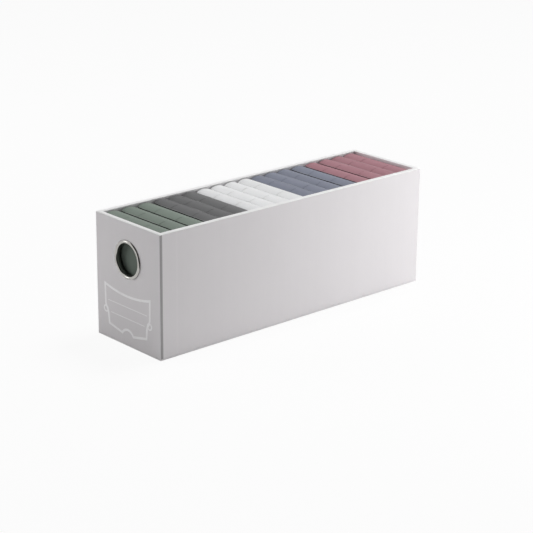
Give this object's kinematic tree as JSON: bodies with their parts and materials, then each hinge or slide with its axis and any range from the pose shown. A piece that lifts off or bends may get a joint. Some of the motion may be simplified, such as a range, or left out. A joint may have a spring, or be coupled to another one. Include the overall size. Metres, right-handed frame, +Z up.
{
  "type": "card storage drawer",
  "caption": "Long narrow open-topped board drawer with a metal finger ring in its front, filled with a row of slim flip-top card cases.",
  "frame": {"origin": "middle of the drawer's footprint, on the face that it stands on", "axes": "+X to the right of the front with the finger ring, +Y from the front to the back, +Z up"},
  "size_m": [0.0834, 0.2989, 0.107],
  "materials": {
    "board": "matt white paper over grey board",
    "rim_paper": "matt white paper edging",
    "base_board": "bare grey board edges",
    "ring_metal": "bright nickel",
    "case_green": "fine-grained soft matt",
    "case_grey": "fine-grained soft matt",
    "case_white": "fine-grained soft matt",
    "case_blue": "fine-grained soft matt",
    "case_red": "fine-grained soft matt"
  },
  "bodies": {
    "drawer": {"base_sheet": "base_board", "floor_board": "board", "front_board_outer": "board", "front_board_inner": "board", "side_board_left_outer": "board", "side_board_left_inner": "board", "side_board_right_outer": "board", "side_board_right_inner": "board", "back_board_outer": "board", "back_board_inner": "board", "rim_front": "rim_paper", "rim_back": "rim_paper", "rim_left": "rim_paper", "rim_right": "rim_paper", "finger_ring": "ring_metal", "ring_washer": "ring_metal"},
    "case_green_1": {"case_green_1_body": "case_green"},
    "lid_green_1": {"case_green_1_lid": "case_green"},
    "case_green_2": {"case_green_2_body": "case_green"},
    "lid_green_2": {"case_green_2_lid": "case_green"},
    "case_green_3": {"case_green_3_body": "case_green"},
    "lid_green_3": {"case_green_3_lid": "case_green"},
    "case_grey_1": {"case_grey_1_body": "case_grey"},
    "lid_grey_1": {"case_grey_1_lid": "case_grey"},
    "case_grey_2": {"case_grey_2_body": "case_grey"},
    "lid_grey_2": {"case_grey_2_lid": "case_grey"},
    "case_grey_3": {"case_grey_3_body": "case_grey"},
    "lid_grey_3": {"case_grey_3_lid": "case_grey"},
    "case_white_1": {"case_white_1_body": "case_white"},
    "lid_white_1": {"case_white_1_lid": "case_white"},
    "case_white_2": {"case_white_2_body": "case_white"},
    "lid_white_2": {"case_white_2_lid": "case_white"},
    "case_white_3": {"case_white_3_body": "case_white"},
    "lid_white_3": {"case_white_3_lid": "case_white"},
    "case_white_4": {"case_white_4_body": "case_white"},
    "lid_white_4": {"case_white_4_lid": "case_white"},
    "case_blue_1": {"case_blue_1_body": "case_blue"},
    "lid_blue_1": {"case_blue_1_lid": "case_blue"},
    "case_blue_2": {"case_blue_2_body": "case_blue"},
    "lid_blue_2": {"case_blue_2_lid": "case_blue"},
    "case_blue_3": {"case_blue_3_body": "case_blue"},
    "lid_blue_3": {"case_blue_3_lid": "case_blue"},
    "case_blue_4": {"case_blue_4_body": "case_blue"},
    "lid_blue_4": {"case_blue_4_lid": "case_blue"},
    "case_red_1": {"case_red_1_body": "case_red"},
    "lid_red_1": {"case_red_1_lid": "case_red"},
    "case_red_2": {"case_red_2_body": "case_red"},
    "lid_red_2": {"case_red_2_lid": "case_red"},
    "case_red_3": {"case_red_3_body": "case_red"},
    "lid_red_3": {"case_red_3_lid": "case_red"},
    "case_red_4": {"case_red_4_body": "case_red"},
    "lid_red_4": {"case_red_4_lid": "case_red"}
  },
  "joints": [
    {"name": "lift_green_1", "type": "slide", "parent": "drawer", "child": "case_green_1", "axis": [0, 0, 1], "range_m": [0, 0.1087]},
    {"name": "open_green_1", "type": "hinge", "parent": "case_green_1", "child": "lid_green_1", "pos_m": [0, -0.12898, 0.1041], "axis": [-1, 0, 0], "range_deg": [0, 110]},
    {"name": "lift_green_2", "type": "slide", "parent": "drawer", "child": "case_green_2", "axis": [0, 0, 1], "range_m": [0, 0.1087]},
    {"name": "open_green_2", "type": "hinge", "parent": "case_green_2", "child": "lid_green_2", "pos_m": [0, -0.11188, 0.1041], "axis": [-1, 0, 0], "range_deg": [0, 110]},
    {"name": "lift_green_3", "type": "slide", "parent": "drawer", "child": "case_green_3", "axis": [0, 0, 1], "range_m": [0, 0.1087]},
    {"name": "open_green_3", "type": "hinge", "parent": "case_green_3", "child": "lid_green_3", "pos_m": [0, -0.09477, 0.1041], "axis": [-1, 0, 0], "range_deg": [0, 110]},
    {"name": "lift_grey_1", "type": "slide", "parent": "drawer", "child": "case_grey_1", "axis": [0, 0, 1], "range_m": [0, 0.1087]},
    {"name": "open_grey_1", "type": "hinge", "parent": "case_grey_1", "child": "lid_grey_1", "pos_m": [0, -0.07767, 0.1041], "axis": [-1, 0, 0], "range_deg": [0, 110]},
    {"name": "lift_grey_2", "type": "slide", "parent": "drawer", "child": "case_grey_2", "axis": [0, 0, 1], "range_m": [0, 0.1087]},
    {"name": "open_grey_2", "type": "hinge", "parent": "case_grey_2", "child": "lid_grey_2", "pos_m": [0, -0.06218, 0.1041], "axis": [-1, 0, 0], "range_deg": [0, 110]},
    {"name": "lift_grey_3", "type": "slide", "parent": "drawer", "child": "case_grey_3", "axis": [0, 0, 1], "range_m": [0, 0.1087]},
    {"name": "open_grey_3", "type": "hinge", "parent": "case_grey_3", "child": "lid_grey_3", "pos_m": [0, -0.04668, 0.1041], "axis": [-1, 0, 0], "range_deg": [0, 110]},
    {"name": "lift_white_1", "type": "slide", "parent": "drawer", "child": "case_white_1", "axis": [0, 0, 1], "range_m": [0, 0.1087]},
    {"name": "open_white_1", "type": "hinge", "parent": "case_white_1", "child": "lid_white_1", "pos_m": [0, -0.03118, 0.1041], "axis": [-1, 0, 0], "range_deg": [0, 110]},
    {"name": "lift_white_2", "type": "slide", "parent": "drawer", "child": "case_white_2", "axis": [0, 0, 1], "range_m": [0, 0.1087]},
    {"name": "open_white_2", "type": "hinge", "parent": "case_white_2", "child": "lid_white_2", "pos_m": [0, -0.01568, 0.1041], "axis": [-1, 0, 0], "range_deg": [0, 110]},
    {"name": "lift_white_3", "type": "slide", "parent": "drawer", "child": "case_white_3", "axis": [0, 0, 1], "range_m": [0, 0.1087]},
    {"name": "open_white_3", "type": "hinge", "parent": "case_white_3", "child": "lid_white_3", "pos_m": [0, -0.00017, 0.1041], "axis": [-1, 0, 0], "range_deg": [0, 110]},
    {"name": "lift_white_4", "type": "slide", "parent": "drawer", "child": "case_white_4", "axis": [0, 0, 1], "range_m": [0, 0.1087]},
    {"name": "open_white_4", "type": "hinge", "parent": "case_white_4", "child": "lid_white_4", "pos_m": [0, 0.01533, 0.1041], "axis": [-1, 0, 0], "range_deg": [0, 110]},
    {"name": "lift_blue_1", "type": "slide", "parent": "drawer", "child": "case_blue_1", "axis": [0, 0, 1], "range_m": [0, 0.1087]},
    {"name": "open_blue_1", "type": "hinge", "parent": "case_blue_1", "child": "lid_blue_1", "pos_m": [0, 0.03083, 0.1041], "axis": [-1, 0, 0], "range_deg": [0, 110]},
    {"name": "lift_blue_2", "type": "slide", "parent": "drawer", "child": "case_blue_2", "axis": [0, 0, 1], "range_m": [0, 0.1087]},
    {"name": "open_blue_2", "type": "hinge", "parent": "case_blue_2", "child": "lid_blue_2", "pos_m": [0, 0.04632, 0.1041], "axis": [-1, 0, 0], "range_deg": [0, 110]},
    {"name": "lift_blue_3", "type": "slide", "parent": "drawer", "child": "case_blue_3", "axis": [0, 0, 1], "range_m": [0, 0.1087]},
    {"name": "open_blue_3", "type": "hinge", "parent": "case_blue_3", "child": "lid_blue_3", "pos_m": [0, 0.06182, 0.1041], "axis": [-1, 0, 0], "range_deg": [0, 110]},
    {"name": "lift_blue_4", "type": "slide", "parent": "drawer", "child": "case_blue_4", "axis": [0, 0, 1], "range_m": [0, 0.1087]},
    {"name": "open_blue_4", "type": "hinge", "parent": "case_blue_4", "child": "lid_blue_4", "pos_m": [0, 0.07892, 0.1041], "axis": [-1, 0, 0], "range_deg": [0, 110]},
    {"name": "lift_red_1", "type": "slide", "parent": "drawer", "child": "case_red_1", "axis": [0, 0, 1], "range_m": [0, 0.1087]},
    {"name": "open_red_1", "type": "hinge", "parent": "case_red_1", "child": "lid_red_1", "pos_m": [0, 0.09602, 0.1041], "axis": [-1, 0, 0], "range_deg": [0, 110]},
    {"name": "lift_red_2", "type": "slide", "parent": "drawer", "child": "case_red_2", "axis": [0, 0, 1], "range_m": [0, 0.1087]},
    {"name": "open_red_2", "type": "hinge", "parent": "case_red_2", "child": "lid_red_2", "pos_m": [0, 0.11313, 0.1041], "axis": [-1, 0, 0], "range_deg": [0, 110]},
    {"name": "lift_red_3", "type": "slide", "parent": "drawer", "child": "case_red_3", "axis": [0, 0, 1], "range_m": [0, 0.1087]},
    {"name": "open_red_3", "type": "hinge", "parent": "case_red_3", "child": "lid_red_3", "pos_m": [0, 0.12862, 0.1041], "axis": [-1, 0, 0], "range_deg": [0, 110]},
    {"name": "lift_red_4", "type": "slide", "parent": "drawer", "child": "case_red_4", "axis": [0, 0, 1], "range_m": [0, 0.1087]},
    {"name": "open_red_4", "type": "hinge", "parent": "case_red_4", "child": "lid_red_4", "pos_m": [0, 0.14413, 0.1041], "axis": [-1, 0, 0], "range_deg": [0, 72]}
  ]
}
